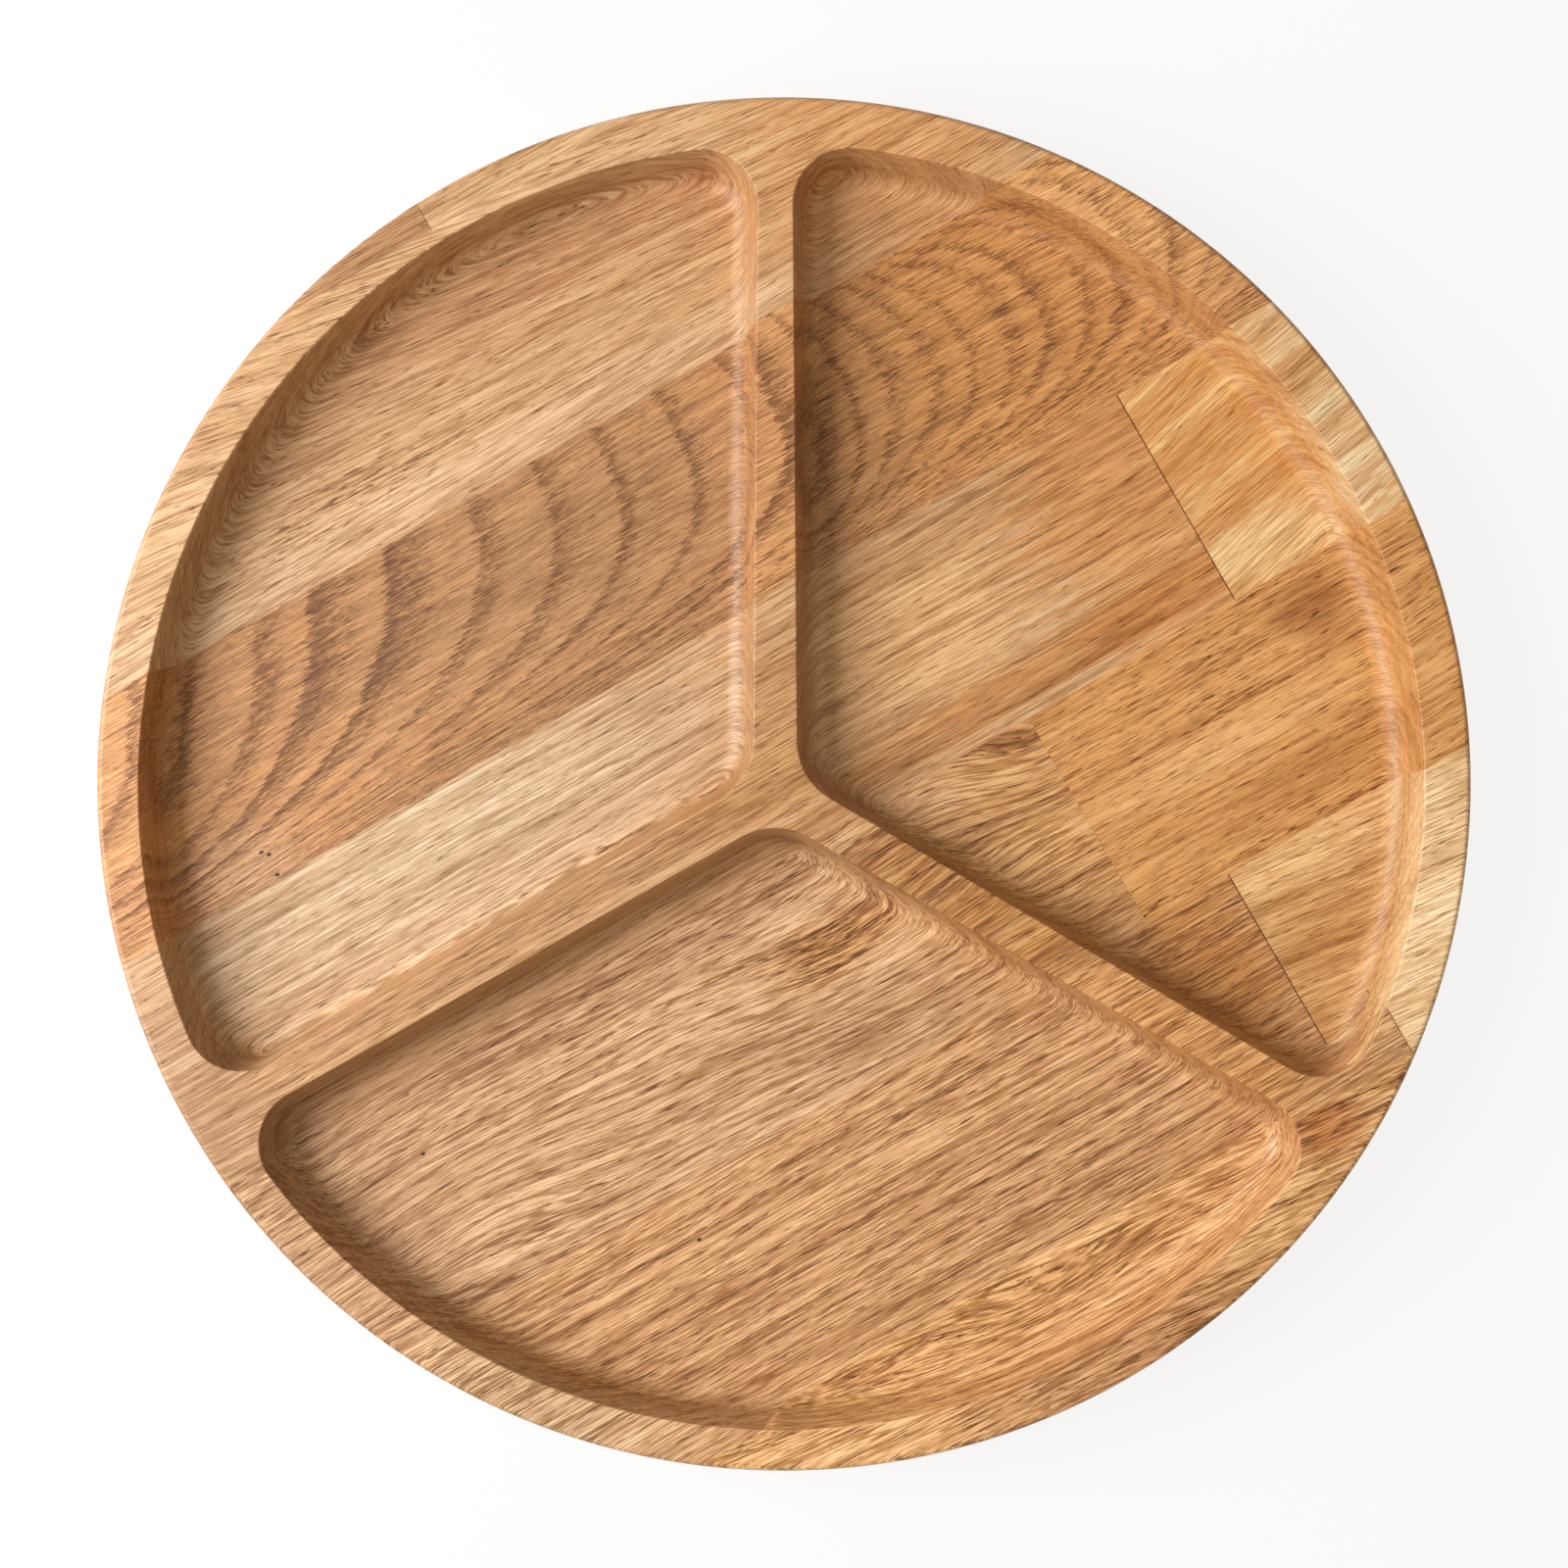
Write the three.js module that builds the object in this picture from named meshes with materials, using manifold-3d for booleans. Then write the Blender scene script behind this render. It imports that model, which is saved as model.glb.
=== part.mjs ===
// Round serving tray with three compartments, milled from a glued-up oak panel.
// Staves lie side by side with their grain along X. Four rows are spliced from two staves
// with finger joints, whose fingers show on edge and leave a straight line on the face.
// The disc and its compartments are cut from the finished panel, so every stave carries
// its own share of rim, dividers, coves and floor. Millimetres, +Z up, base on Z = 0.

import * as THREE from "three";
import { mergeVertices } from "three/addons/utils/BufferGeometryUtils.js";
import Module from "manifold-3d";

// Disc
const RADIUS = 125;
const FLOOR_THICKNESS = 10;
const EDGE_ROUND = 1.2;

// Compartments: the router's template sat a little off the disc's centre, and so do
// the hub where the three dividers meet and the centre of the rim's inner arc
const POCKET_DEPTH = 10;
const RIM_WIDTH = 7.9;
const RIM_ARC_X = -0.65;
const RIM_ARC_Y = -0.25;
const DIVIDER_WIDTH_AT_HUB = 7.6;
const DIVIDER_WIDTH_AT_RIM = 5.8;
const HUB_X = -2.1;
const HUB_Y = -0.5;
const DIVIDER_ANGLES = [60, 180, 300];

// Compartment wall, from the lip down to the floor
const LIP_ROUND = 0.4;
const WALL_DRAFT = 12;
const COVE_RADIUS = 4;
const FLOOR_CORNER_AT_HUB = 6.8;
const FLOOR_CORNER_AT_RIM = 4.8;

// Panel: whole staves side by side, and at each edge what the disc leaves of one more.
// Rows are counted from +Y, so the first and the last are the strips.
const WHOLE_STAVES = 5;
const UPPER_STRIP = 5.95;
const LOWER_STRIP = 25.4;
const GLUE_LINE = 0.1;

// Finger joints: where their line lies on the top face, along X
const SPLICE_1_FROM_CENTRE = -5.2;
const SPLICE_4_FROM_EDGE = 24.1;
const SPLICE_5_FROM_EDGE = 68.2;
const SPLICE_6_FROM_EDGE = 50.7;
const FINGER_LENGTH = 11.3;
const FINGER_PITCH = 4;
const FINGER_TIP = 0.6;
const FINGER_TIP_GAP = 0.3;

// Rows that are spliced, and every row's oak tones from -X to +X
const SPLICES = new Map([
  [1, SPLICE_1_FROM_CENTRE],
  [4, RADIUS - SPLICE_4_FROM_EDGE],
  [5, RADIUS - SPLICE_5_FROM_EDGE],
  [6, RADIUS - SPLICE_6_FROM_EDGE],
]);
const TONES = new Map([
  [1, ["#a8754a", "#c9945a"]],
  [2, ["#cc985e"]],
  [3, ["#b27c4b"]],
  [4, ["#c6925a", "#d6a661"]],
  [5, ["#ba854f", "#bd8045"]],
  [6, ["#c28b51", "#cd985a"]],
  [7, ["#c18a50"]],
]);
const PLAIN_OAK = "#c38d54";
const OIL_SHEEN = 0.52;

// Fineness of the round stretches
const DISC_SIDES = 96;
const ROUND_STEPS = 3;
const COVE_STEPS = 6;
const CORNER_STEP = 10;
const RIM_ARC_STEP = 4;

const { degToRad } = THREE.MathUtils;
const quarter = Math.PI / 2;
const top = FLOOR_THICKNESS + POCKET_DEPTH;
const clear = top;
const rimArc = RADIUS - RIM_WIDTH;
const rimArcCentre = new THREE.Vector2(RIM_ARC_X, RIM_ARC_Y);
const staveWidth = (2 * RADIUS - UPPER_STRIP - LOWER_STRIP) / WHOLE_STAVES;

const wasm = await Module();
wasm.setup();

// Turns a closed three.js geometry into a solid that can be cut and joined.
function solidOf(geometry) {
  geometry.deleteAttribute("normal");
  geometry.deleteAttribute("uv");
  const merged = mergeVertices(geometry, 1e-5);
  return new wasm.Manifold(new wasm.Mesh({
    numProp: 3,
    vertProperties: new Float32Array(merged.attributes.position.array),
    triVerts: new Uint32Array(merged.index.array),
  }));
}

// Turns a solid back into a three.js geometry with flat shading.
function geometryOf(solid) {
  const mesh = solid.getMesh();
  const geometry = new THREE.BufferGeometry();
  geometry.setAttribute("position", new THREE.Float32BufferAttribute(mesh.vertProperties, mesh.numProp));
  geometry.setIndex(new THREE.Uint32BufferAttribute(mesh.triVerts, 1));
  geometry.computeVertexNormals();
  return geometry;
}

// Values from one end to the other in equal steps, both ends included.
function spread(from, to, steps) {
  return Array.from({ length: steps + 1 }, (_, i) => from + ((to - from) * i) / steps);
}

// The disc with eased edges, before anything is milled into it.
function discBlank() {
  const round = (height, from, to) => spread(from, to, ROUND_STEPS).map((angle) => new THREE.Vector2(
    RADIUS - EDGE_ROUND + EDGE_ROUND * Math.cos(angle),
    height + EDGE_ROUND * Math.sin(angle),
  ));
  const profile = [
    new THREE.Vector2(0, 0),
    ...round(EDGE_ROUND, -quarter, 0),
    ...round(top - EDGE_ROUND, 0, quarter),
    new THREE.Vector2(0, top),
  ];
  return solidOf(new THREE.LatheGeometry(profile, DISC_SIDES).rotateX(quarter));
}

// The wall's section as [inset from the lip, height], from the floor up past the top face.
function wallSection() {
  const draft = degToRad(WALL_DRAFT);
  const lowest = FLOOR_THICKNESS + COVE_RADIUS * (1 - Math.sin(draft));
  const highest = top - LIP_ROUND * (1 - Math.sin(draft));
  const toCove = LIP_ROUND * Math.cos(draft) + (highest - lowest) * Math.tan(draft);
  const toFloor = toCove + COVE_RADIUS * Math.cos(draft);
  const cove = spread(0, quarter - draft, COVE_STEPS).map((a) => [
    toFloor - COVE_RADIUS * Math.sin(a),
    FLOOR_THICKNESS + COVE_RADIUS * (1 - Math.cos(a)),
  ]);
  const lip = spread(draft, quarter, ROUND_STEPS).map((a) => [
    LIP_ROUND * Math.cos(a),
    top - LIP_ROUND + LIP_ROUND * Math.sin(a),
  ]);
  return [...cove, ...lip, [0, top + clear]];
}

const section = wallSection();
const wallRun = section[0][0];
const hubCorner = FLOOR_CORNER_AT_HUB + wallRun;
const rimCorner = FLOOR_CORNER_AT_RIM + wallRun;

// One edge of a divider as a line; side is +1 for its counter-clockwise edge, -1 for the other.
function dividerEdge(angle, side) {
  const taper = Math.atan2(DIVIDER_WIDTH_AT_HUB - DIVIDER_WIDTH_AT_RIM, 2 * rimArc);
  const across = degToRad(angle) + side * quarter;
  const heading = degToRad(angle) - side * taper;
  const inward = heading + side * quarter;
  const half = DIVIDER_WIDTH_AT_HUB / 2;
  return {
    heading,
    start: new THREE.Vector2(HUB_X + half * Math.cos(across), HUB_Y + half * Math.sin(across)),
    along: new THREE.Vector2(Math.cos(heading), Math.sin(heading)),
    inward: new THREE.Vector2(Math.cos(inward), Math.sin(inward)),
  };
}

// Centre of the corner between two edges, each moved into the compartment by the radius.
function hubCornerCentre(first, last) {
  const a = first.start.clone().addScaledVector(first.inward, hubCorner);
  const b = last.start.clone().addScaledVector(last.inward, hubCorner);
  const reach = b.sub(a).cross(last.along) / first.along.cross(last.along);
  return a.addScaledVector(first.along, reach);
}

// Centre of the corner between an edge and the rim's inner arc.
function rimCornerCentre(edge) {
  const a = edge.start.clone().addScaledVector(edge.inward, rimCorner);
  const fromArcCentre = a.clone().sub(rimArcCentre);
  const nearest = fromArcCentre.dot(edge.along);
  const reach = Math.sqrt(nearest ** 2 - fromArcCentre.lengthSq() + (rimArc - rimCorner) ** 2) - nearest;
  return a.addScaledVector(edge.along, reach);
}

// The lip's outline between two dividers, counter-clockwise, as arcs joined by straight edges.
function pocketArcs(startAngle, endAngle) {
  const first = dividerEdge(startAngle, 1);
  const last = dividerEdge(endAngle, -1);
  const nearFirst = rimCornerCentre(first);
  const nearLast = rimCornerCentre(last);
  const rimFrom = nearFirst.clone().sub(rimArcCentre).angle();
  const rimTo = nearLast.clone().sub(rimArcCentre).angle();
  return [
    { centre: hubCornerCentre(first, last), radius: hubCorner, from: last.heading + quarter,
      to: first.heading - quarter, step: CORNER_STEP, skipFirst: false },
    { centre: nearFirst, radius: rimCorner, from: first.heading - quarter, to: rimFrom,
      step: CORNER_STEP, skipFirst: false },
    { centre: rimArcCentre, radius: rimArc, from: rimFrom, to: rimTo,
      step: RIM_ARC_STEP, skipFirst: true },
    { centre: nearLast, radius: rimCorner, from: rimTo, to: last.heading + quarter,
      step: CORNER_STEP, skipFirst: true },
  ];
}

// Points of the outline moved inwards; the arcs keep their centres and only lose radius.
function pocketRing(arcs, inset) {
  const fullTurn = 2 * Math.PI;
  return arcs.flatMap(({ centre, radius, from, to, step, skipFirst }) => {
    const turn = (((to - from) % fullTurn) + fullTurn) % fullTurn;
    const angles = spread(from, from + turn, Math.ceil(turn / degToRad(step)));
    return angles.slice(skipFirst ? 1 : 0).map((angle) => new THREE.Vector2(
      centre.x + (radius - inset) * Math.cos(angle),
      centre.y + (radius - inset) * Math.sin(angle),
    ));
  });
}

// What the router takes out for one compartment, as rings lofted up the wall's section.
function pocketSolid(startAngle, endAngle) {
  const arcs = pocketArcs(startAngle, endAngle);
  const rings = section.map(([inset]) => pocketRing(arcs, inset));
  const count = rings[0].length;
  const positions = rings.flatMap((ring, level) => ring.flatMap((p) => [p.x, p.y, section[level][1]]));
  const last = (rings.length - 1) * count;
  const cap = THREE.ShapeUtils.triangulateShape(rings[0], []);
  const lid = THREE.ShapeUtils.triangulateShape(rings[rings.length - 1], []);
  const index = cap.flatMap(([a, b, c]) => [a, c, b]);
  index.push(...lid.flatMap(([a, b, c]) => [last + a, last + b, last + c]));
  for (let level = 0; level < rings.length - 1; level += 1) {
    for (let i = 0; i < count; i += 1) {
      const a = level * count + i;
      const b = level * count + ((i + 1) % count);
      index.push(a, b, b + count, a, b + count, a + count);
    }
  }
  const geometry = new THREE.BufferGeometry();
  geometry.setAttribute("position", new THREE.Float32BufferAttribute(positions, 3));
  geometry.setIndex(index);
  return solidOf(geometry);
}

// The milled disc: the blank less its compartments.
function milledDisc() {
  return DIVIDER_ANGLES.reduce((disc, angle, i) => {
    const next = DIVIDER_ANGLES[(i + 1) % DIVIDER_ANGLES.length];
    return disc.subtract(pocketSolid(angle, next));
  }, discBlank());
}

// A finger joint on edge, from above the top face down past the base, as [x, z] points.
// Half a finger lies against the top face, where the joint shows as a line at x.
function fingerLine(x) {
  const line = [];
  for (let crest = top + FINGER_PITCH; crest > -FINGER_PITCH; crest -= FINGER_PITCH) {
    const trough = crest - FINGER_PITCH / 2;
    line.push([x, crest + FINGER_TIP / 2], [x, crest - FINGER_TIP / 2]);
    line.push([x - FINGER_LENGTH, trough + FINGER_TIP / 2], [x - FINGER_LENGTH, trough - FINGER_TIP / 2]);
  }
  return line;
}

// A plain end beyond the disc, as tall as the finger line.
function plainEnd(x) {
  const line = fingerLine(x);
  return [[x, line[0][1]], [x, line[line.length - 1][1]]];
}

// The stave before the disc is cut: its side view drawn in X and Z, pulled along Y.
function staveBlank(leftEnd, rightEnd, lowY, highY) {
  const outline = [...rightEnd, ...leftEnd.toReversed()];
  const side = new THREE.Shape(outline.map(([x, z]) => new THREE.Vector2(x, z)));
  const bar = new THREE.ExtrudeGeometry(side, { depth: highY - lowY, bevelEnabled: false });
  return solidOf(bar.rotateX(quarter).translate(0, highY, 0));
}

// Both ends of every stave in a row; a spliced row has two staves.
function rowEnds(row) {
  const beyond = RADIUS + clear;
  const ends = [plainEnd(-beyond), plainEnd(beyond)];
  if (!SPLICES.has(row)) return [ends];
  const joint = SPLICES.get(row);
  return [[ends[0], fingerLine(joint)], [fingerLine(joint + FINGER_TIP_GAP), ends[1]]];
}

function staveMesh(name, solid, tone) {
  const material = new THREE.MeshStandardMaterial({ color: tone, roughness: OIL_SHEEN, metalness: 0 });
  const mesh = new THREE.Mesh(geometryOf(solid), material);
  mesh.name = name;
  return mesh;
}

const tray = new THREE.Group();
tray.name = "serving_tray";
const disc = milledDisc();
const rows = WHOLE_STAVES + 2;
for (let row = 1; row <= rows; row += 1) {
  const glueAbove = RADIUS - UPPER_STRIP - (row - 2) * staveWidth;
  const highY = row === 1 ? RADIUS + clear : glueAbove - GLUE_LINE / 2;
  const lowY = row === rows ? -RADIUS - clear : glueAbove - staveWidth + GLUE_LINE / 2;
  const staves = rowEnds(row);
  staves.forEach(([leftEnd, rightEnd], i) => {
    const solid = disc.intersect(staveBlank(leftEnd, rightEnd, lowY, highY));
    const place = staves.length === 1 ? "" : ["_left", "_right"][i];
    const tone = TONES.get(row)?.[i] ?? PLAIN_OAK;
    tray.add(staveMesh(`stave_${row}${place}`, solid, tone));
  });
}

export default tray;
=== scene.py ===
# %% [markdown]
# # A divided oak serving tray
# The tray is a round panel of oak staves, glued edge to edge and end to end, with three shallow
# compartments milled into it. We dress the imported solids: each stave becomes a finer mesh with its
# own oak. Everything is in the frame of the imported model, in metres, with the base on Z = 0.

import math
from types import SimpleNamespace

import bpy
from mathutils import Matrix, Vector


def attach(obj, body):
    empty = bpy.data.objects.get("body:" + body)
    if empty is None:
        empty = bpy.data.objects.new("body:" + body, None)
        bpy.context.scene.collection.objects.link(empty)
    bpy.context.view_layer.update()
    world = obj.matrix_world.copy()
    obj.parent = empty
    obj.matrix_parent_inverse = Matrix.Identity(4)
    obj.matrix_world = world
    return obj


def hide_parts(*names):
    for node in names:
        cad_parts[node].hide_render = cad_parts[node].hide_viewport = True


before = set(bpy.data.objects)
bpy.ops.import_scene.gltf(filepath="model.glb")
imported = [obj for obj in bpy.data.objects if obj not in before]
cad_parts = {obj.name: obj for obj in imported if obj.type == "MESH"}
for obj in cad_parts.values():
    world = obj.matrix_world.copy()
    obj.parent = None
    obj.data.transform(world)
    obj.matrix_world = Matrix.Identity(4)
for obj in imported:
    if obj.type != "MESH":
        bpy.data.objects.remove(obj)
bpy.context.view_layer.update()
scene = bpy.context.scene
print("staves in the packed tray:", len(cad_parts))

# %% [markdown]
# ## Two sections
# A router bit leaves the same section all along a compartment: a small lip, a wall with a little
# draft, a cove and the flat floor. The disc's outer edge has a section too, with both corners eased.
# The walls could be modelled face by face, but a section that is drawn once and swept stays even all
# the way round. Sizes are in millimetres, and turn to metres only where a point is placed.

# %% Work out the wall's section and the edge's section
MM = 0.001
RADIUS = 125.0
FLOOR_HEIGHT = 10.0
TOP = 20.0
ABOVE_TOP = 4.0
LIP_ROUND = 0.4
WALL_DRAFT = math.radians(12)
COVE_RADIUS = 4.0
EDGE_ROUND = 1.2
COVE_STEPS = 14
LIP_STEPS = 4
EDGE_STEPS = 6
QUARTER = math.pi / 2


def steps_between(start, end, count):
    return [start + (end - start) * i / count for i in range(count + 1)]


def wall_section():
    """Points of the wall as (inset from the lip, height), from the floor up past the top face."""
    cove_top = FLOOR_HEIGHT + COVE_RADIUS * (1 - math.sin(WALL_DRAFT))
    lip_foot = TOP - LIP_ROUND * (1 - math.sin(WALL_DRAFT))
    to_cove = LIP_ROUND * math.cos(WALL_DRAFT) + (lip_foot - cove_top) * math.tan(WALL_DRAFT)
    to_floor = to_cove + COVE_RADIUS * math.cos(WALL_DRAFT)
    cove = [
        (to_floor - COVE_RADIUS * math.sin(a), FLOOR_HEIGHT + COVE_RADIUS * (1 - math.cos(a)))
        for a in steps_between(0, QUARTER - WALL_DRAFT, COVE_STEPS)
    ]
    lip = [
        (LIP_ROUND * math.cos(a), TOP - LIP_ROUND + LIP_ROUND * math.sin(a))
        for a in steps_between(WALL_DRAFT, QUARTER, LIP_STEPS)
    ]
    return cove + lip + [(0, TOP + ABOVE_TOP)]


def eased_corner(height, start, end):
    return [
        (EDGE_ROUND * (1 - math.cos(a)), height + EDGE_ROUND * math.sin(a))
        for a in steps_between(start, end, EDGE_STEPS)
    ]


wall_points = wall_section()
edge_points = eased_corner(EDGE_ROUND, -QUARTER, 0) + eased_corner(TOP - EDGE_ROUND, 0, QUARTER)
wall_run = wall_points[0][0]
print("the wall takes", round(wall_run, 2), "mm from lip to floor")

# %% [markdown]
# ## Drawing the sections
# Geometry Nodes sweep a curve along another curve, so a section has to be a curve object. On a level
# path the sweep lays a section's X to the right of the path and its Y downwards, which is why the
# points of a section are written with both signs turned.

# %% Draw the two sections as curves
def drawn_line(name, paths, closed):
    """A curve object with one straight-sided line for each path of points in millimetres."""
    curve = bpy.data.curves.new(name, "CURVE")
    curve.dimensions = "3D"
    for path in paths:
        line = curve.splines.new("POLY")
        line.points.add(len(path) - 1)
        for mark, point in zip(line.points, path):
            mark.co = (*(c * MM for c in point), 1)
        line.use_cyclic_u = closed
    sketch = bpy.data.objects.new(name, curve)
    scene.collection.objects.link(sketch)
    return sketch


def drawn_section(name, points):
    return drawn_line(name, [[(-inset, -height, 0) for inset, height in points]], False)


wall_drawing = drawn_section("wall_section", wall_points)
edge_drawing = drawn_section("edge_section", edge_points)
print("points in the sections:", len(wall_points), "and", len(edge_points))

# %% [markdown]
# ## Edges and corners of a compartment
# Seen from above, a compartment is bounded by two dividers, the rim's inner arc and three round
# corners. The template for the compartments sat a little off the disc's centre, so the hub of the
# dividers and the rim's inner arc have centres of their own. The dividers are a little wider at the
# hub than at the rim, so their edges are not quite radial. A corner's centre is worked out from the
# two edges that it joins, so that a changed width moves the corners with it.

# %% Find the divider edges and the corner centres
RIM_WIDTH = 7.9
RIM_ARC_CENTRE = Vector((-0.65, -0.25))
HUB = Vector((-2.1, -0.5))
DIVIDER_WIDTH_AT_HUB = 7.6
DIVIDER_WIDTH_AT_RIM = 5.8
FLOOR_CORNER_AT_HUB = 6.8
FLOOR_CORNER_AT_RIM = 4.8
rim_arc = RADIUS - RIM_WIDTH
hub_corner = FLOOR_CORNER_AT_HUB + wall_run
rim_corner = FLOOR_CORNER_AT_RIM + wall_run


def heading(angle):
    return Vector((math.cos(angle), math.sin(angle)))


def divider_edge(degrees, side):
    """Start, angle and inward direction of a divider's edge; side +1 is its left edge seen outwards."""
    taper = math.atan2(DIVIDER_WIDTH_AT_HUB - DIVIDER_WIDTH_AT_RIM, 2 * rim_arc)
    angle = math.radians(degrees)
    start = HUB + heading(angle + side * QUARTER) * (DIVIDER_WIDTH_AT_HUB / 2)
    along = angle - side * taper
    return start, along, heading(along + side * QUARTER)


def hub_corner_centre(first, last):
    a = first[0] + first[2] * hub_corner
    b = last[0] + last[2] * hub_corner
    d = heading(first[1])
    e = heading(last[1])
    return a + d * ((b - a).cross(e) / d.cross(e))


def rim_corner_centre(edge):
    a = edge[0] + edge[2] * rim_corner
    d = heading(edge[1])
    out = a - RIM_ARC_CENTRE
    nearest = out.dot(d)
    reach = math.sqrt(nearest ** 2 - out.length_squared + (rim_arc - rim_corner) ** 2) - nearest
    return a + d * reach


print("lip corners:", round(hub_corner, 2), "mm by the hub,", round(rim_corner, 2), "mm by the rim")

# %% [markdown]
# ## The lips
# With the centres known, a lip is four arcs, and the straight edges come by themselves between the
# end of one arc and the start of the next. The arcs could be Bezier curves, but points on a circle are
# exact, and the small corners get shorter steps than the long arc of the rim.

# %% Draw the lips of the three compartments
DIVIDER_ANGLES = (60, 180, 300)
CORNER_STEP = math.radians(3)
RIM_ARC_STEP = math.radians(0.8)


def lip_outline(start_degrees, end_degrees):
    """The lip between two dividers, counter-clockwise."""
    first = divider_edge(start_degrees, 1)
    last = divider_edge(end_degrees, -1)
    near_first = rim_corner_centre(first)
    near_last = rim_corner_centre(last)
    rim_from = math.atan2(*(near_first - RIM_ARC_CENTRE).yx)
    rim_to = math.atan2(*(near_last - RIM_ARC_CENTRE).yx)
    arcs = [
        (hub_corner_centre(first, last), hub_corner, last[1] + QUARTER, first[1] - QUARTER, CORNER_STEP, 0),
        (near_first, rim_corner, first[1] - QUARTER, rim_from, CORNER_STEP, 0),
        (RIM_ARC_CENTRE, rim_arc, rim_from, rim_to, RIM_ARC_STEP, 1),
        (near_last, rim_corner, rim_to, last[1] + QUARTER, CORNER_STEP, 1),
    ]
    outline = []
    for centre, radius, turn_from, turn_to, stride, skip in arcs:
        turn = (turn_to - turn_from) % math.tau
        angles = steps_between(turn_from, turn_from + turn, math.ceil(turn / stride))
        outline += [(*(centre + heading(a) * radius), 0) for a in angles[skip:]]
    return outline


next_angles = DIVIDER_ANGLES[1:] + DIVIDER_ANGLES[:1]
lips = [lip_outline(a, b) for a, b in zip(DIVIDER_ANGLES, next_angles)]
lip_drawing = drawn_line("lips", lips, True)
print("points on each lip:", [len(lip) for lip in lips])

# %% [markdown]
# ## A bench for node trees
# Geometry Nodes trees read best as a list of steps. The helper below adds one node, sets what it is
# set to, and joins its sockets to earlier nodes, so that each step is a line. A finished tree is read
# out as a plain mesh, without live modifiers.

# %% Helpers that build a tree and read out its mesh
def step(tree, kind, settings, joins):
    """Adds a node; joins go from a socket's number or identifier to a value or to earlier sockets."""
    made = tree.nodes.new(kind)
    for name, value in settings.items():
        setattr(made, name, value)
    by_identifier = {s.identifier: s for s in made.inputs}
    for key, value in joins.items():
        socket = made.inputs[key] if isinstance(key, int) else by_identifier[key]
        for source in value if isinstance(value, list) else [value]:
            if isinstance(source, bpy.types.NodeSocket):
                tree.links.new(source, socket)
            else:
                socket.default_value = source
    return made.outputs[0]


def new_tree(name, inputs):
    """A geometry tree with named inputs; gives the tree, its inputs by name and its output socket."""
    tree = bpy.data.node_groups.new(name, "GeometryNodeTree")
    tree.interface.new_socket("Geometry", in_out="INPUT", socket_type="NodeSocketGeometry")
    for label, kind in inputs.items():
        tree.interface.new_socket(label, in_out="INPUT", socket_type="NodeSocket" + kind)
    tree.interface.new_socket("Geometry", in_out="OUTPUT", socket_type="NodeSocketGeometry")
    entry = tree.nodes.new("NodeGroupInput")
    return tree, {s.name: s for s in entry.outputs}, tree.nodes.new("NodeGroupOutput").inputs[0]


def set_inputs(modifier, values):
    """Sets a tree's inputs by their identifiers."""
    for item in modifier.node_group.interface.items_tree:
        if item.in_out == "INPUT" and item.name in values:
            modifier[item.identifier] = values[item.name]


def plain_mesh(thing, name):
    """What the modifiers make of an object, as a mesh of its own; the object itself goes."""
    evaluated = thing.evaluated_get(bpy.context.evaluated_depsgraph_get())
    mesh = bpy.data.meshes.new_from_object(evaluated)
    mesh.name = name
    bpy.data.objects.remove(thing)
    return mesh


print("the bench can add a step, start a tree, set its inputs and read out its mesh")

# %% [markdown]
# ## Swept walls and their caps
# A swept wall is a band that is open at its floor and above the top face. It becomes a solid cutter
# when both openings are filled, and those are found by a rule: an edge with one face beside it is an
# open edge, and its height tells the floor's edge from the upper one.

# %% Helpers that sweep, weld and cap
WELD = 0.001 * MM


def drawing(tree, thing):
    """The shape of another object."""
    return step(tree, "GeometryNodeObjectInfo", {}, {"Object": thing}).node.outputs["Geometry"]


def turned_out(tree, shape):
    return step(tree, "GeometryNodeFlipFaces", {}, {"Mesh": shape})


def triangles(tree, shape):
    return step(tree, "GeometryNodeTriangulate", {}, {"Mesh": shape})


def swept(tree, path, section):
    """A section object swept along a level path, kept upright, with its faces outwards."""
    level = step(tree, "GeometryNodeSetCurveNormal", {"mode": "Z_UP"}, {"Curve": path})
    skin = step(tree, "GeometryNodeCurveToMesh", {},
                {"Curve": level, "Profile Curve": drawing(tree, section)})
    return turned_out(tree, skin)


def welded(tree, pieces):
    joined = step(tree, "GeometryNodeJoinGeometry", {}, {"Geometry": pieces})
    return step(tree, "GeometryNodeMergeByDistance", {}, {"Geometry": joined, "Distance": WELD})


def cap_at(tree, walls, height, side):
    """Fills the open edges of the walls that lie above or below the middle of the wall."""
    middle = (FLOOR_HEIGHT + TOP) / 2 * MM
    faces = step(tree, "GeometryNodeInputMeshEdgeNeighbors", {}, {})
    is_open = step(tree, "FunctionNodeCompare", {"data_type": "INT", "operation": "EQUAL"},
                   {"A_INT": faces, "B_INT": 1})
    place = step(tree, "GeometryNodeInputPosition", {}, {})
    z = step(tree, "ShaderNodeSeparateXYZ", {}, {"Vector": place}).node.outputs["Z"]
    is_level = step(tree, "FunctionNodeCompare", {"operation": side}, {"A": z, "B": middle})
    chosen = step(tree, "FunctionNodeBooleanMath", {}, {0: is_open, 1: is_level})
    loop = step(tree, "GeometryNodeMeshToCurve", {}, {"Mesh": walls, "Selection": chosen})
    cap = step(tree, "GeometryNodeFillCurve", {"mode": "TRIANGLES"}, {"Curve": loop})
    return step(tree, "GeometryNodeTransform", {}, {"Geometry": cap, "Translation": (0, 0, height)})


print("points closer than", WELD / MM, "mm are welded")

# %% [markdown]
# ## The milled disc
# The real disc is sawn from the panel and its compartments are milled with a template. Here the
# edge's section is swept round a circle and closed into a blank, the wall's section is swept along
# each lip and closed into a cutter, and the cutters are taken out of the blank. Modelling every wall
# by hand would give the same shape, but a tree keeps the template's rule in one place.

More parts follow.
